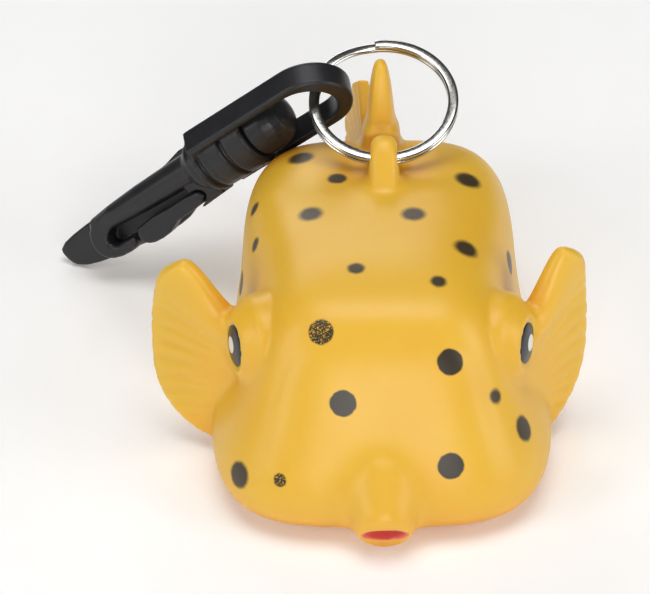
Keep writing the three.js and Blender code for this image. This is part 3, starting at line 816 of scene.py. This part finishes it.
# Spark-eroded grain is about 0.05 mm, too fine to show, so it is drawn at 0.4 mm.
grain = node(tree, "ShaderNodeTexNoise", {"Vector": place, "Scale": 1 / 0.4, "Detail": 2.0})
patches = node(tree, "ShaderNodeTexNoise", {"Vector": place, "Scale": 1 / 6.0, "Detail": 3.0})
polish = node(tree, "ShaderNodeMapRange", {"Value": out(patches), "To Min": 0.28, "To Max": 0.50})
tone = node(
    tree, "ShaderNodeMix", {"Factor": out(patches), 6: linear("#1B1B1D"), 7: linear("#26262A")},
    data_type="RGBA",
)
texture = node(tree, "ShaderNodeBump", {"Strength": 0.10, "Distance": 0.1 * MM, "Height": out(grain)})
tree.links.new(out(tone, 2), clip_shader.inputs["Base Color"])
tree.links.new(out(polish), clip_shader.inputs["Roughness"])
tree.links.new(out(texture), clip_shader.inputs["Normal"])
clip_shader.inputs["IOR"].default_value = 1.48
for moulded in clip_parts:
    moulded.data.materials.append(acetal)

# %% [markdown]
# ## Floor, light and camera
# The toy stands on a plain white card, in a light tent: a big soft light from above, a bank at each
# side, one light in front and one behind, and a white world that is dimmer low down. The card glows a
# little too, so that the ground stays as white as on a light table. The camera looks down at 36 degrees
# from a little over half a metre, which is how such a toy is photographed for a catalogue.

# %% A white floor
FLOOR_HALF = 3.0
corners = [(x * FLOOR_HALF, y * FLOOR_HALF, 0) for x, y in ((-1, -1), (1, -1), (1, 1), (-1, 1))]
floor_mesh = bpy.data.meshes.new("floor")
floor_mesh.from_pydata(corners, [], [(0, 1, 2, 3)])
floor = add_object("floor", floor_mesh)
paper, tree, paper_shader = material("white_card")
fibre = node(tree, "ShaderNodeTexNoise", {"Scale": 900.0})
tint = node(
    tree, "ShaderNodeMix", {"Factor": out(fibre), 6: linear("#FBFAF9"), 7: linear("#FFFFFF")},
    data_type="RGBA",
)
tree.links.new(out(tint, 2), paper_shader.inputs["Base Color"])
paper_shader.inputs["Roughness"].default_value = 0.9
paper_shader.inputs["Emission Color"].default_value = (1, 1, 1, 1)
paper_shader.inputs["Emission Strength"].default_value = 0.09
paper_shader.inputs["Specular IOR Level"].default_value = 0.1
floor_mesh.materials.append(paper)


# %% Softboxes
TOY_MIDDLE = Vector((0, 0, 0.025))


def softbox(name, location, size, power):
    """A rectangular lamp that faces the toy."""
    light = bpy.data.lights.new(name, "AREA")
    light.shape = "RECTANGLE"
    light.size, light.size_y = size
    light.energy = power
    lamp = add_object(name, light)
    lamp.location = location
    lamp.rotation_euler = (TOY_MIDDLE - Vector(location)).to_track_quat("-Z", "Y").to_euler()


softbox("overhead", (0.0, -0.05, 0.9), (0.7, 0.5), 4)
softbox("left_bank", (-0.8, -0.4, 0.45), (0.35, 0.6), 2.4)
softbox("right_bank", (0.8, -0.3, 0.4), (0.35, 0.6), 2.4)
softbox("front", (0.05, -0.9, 0.35), (0.5, 0.3), 3)
softbox("behind", (-0.2, 0.8, 0.5), (0.6, 0.3), 2)
world = bpy.data.worlds.new("white_tent")
bpy.context.scene.world = world
world.use_nodes = True
# The tent is dimmer low down all round, and that band is what draws the ring's darker lines.
sky = world.node_tree
facing = node(sky, "ShaderNodeTexCoord")
heights = node(sky, "ShaderNodeSeparateXYZ", {0: out(facing, "Generated")})
tent = node(sky, "ShaderNodeMapRange", {
    "Value": out(heights, "Z"), "From Min": 0.12, "From Max": 0.42, "To Min": 0.48, "To Max": 0.86,
})
sky.links.new(out(tent), sky.nodes["Background"].inputs["Strength"])
bpy.context.scene.view_settings.view_transform = "Standard"

# %% The camera
LOOK_DOWN, TURN, ROLL = math.radians(36), math.radians(-1.8), math.radians(-1.5)
TARGET, DISTANCE = Vector((-11.2, 5.8, 20.0)) * MM, 0.560
FOCAL_PIXELS, PICTURE_WIDTH, SENSOR = 2800, 650, 36.0
ahead = Vector((
    math.sin(TURN) * math.cos(LOOK_DOWN),
    math.cos(TURN) * math.cos(LOOK_DOWN),
    -math.sin(LOOK_DOWN),
))
level = Vector((math.cos(TURN), -math.sin(TURN), 0))
above = level.cross(ahead)
right = math.cos(ROLL) * level + math.sin(ROLL) * above
up = math.cos(ROLL) * above - math.sin(ROLL) * level
lens = bpy.data.cameras.new("camera")
lens.sensor_width = SENSOR
lens.lens = FOCAL_PIXELS / PICTURE_WIDTH * SENSOR
lens.clip_start = 0.01
camera = add_object("camera", lens)
stand = TARGET - ahead * DISTANCE
camera.matrix_world = Matrix((
    (right.x, up.x, -ahead.x, stand.x),
    (right.y, up.y, -ahead.y, stand.y),
    (right.z, up.z, -ahead.z, stand.z),
    (0, 0, 0, 1),
))
bpy.context.scene.camera = camera
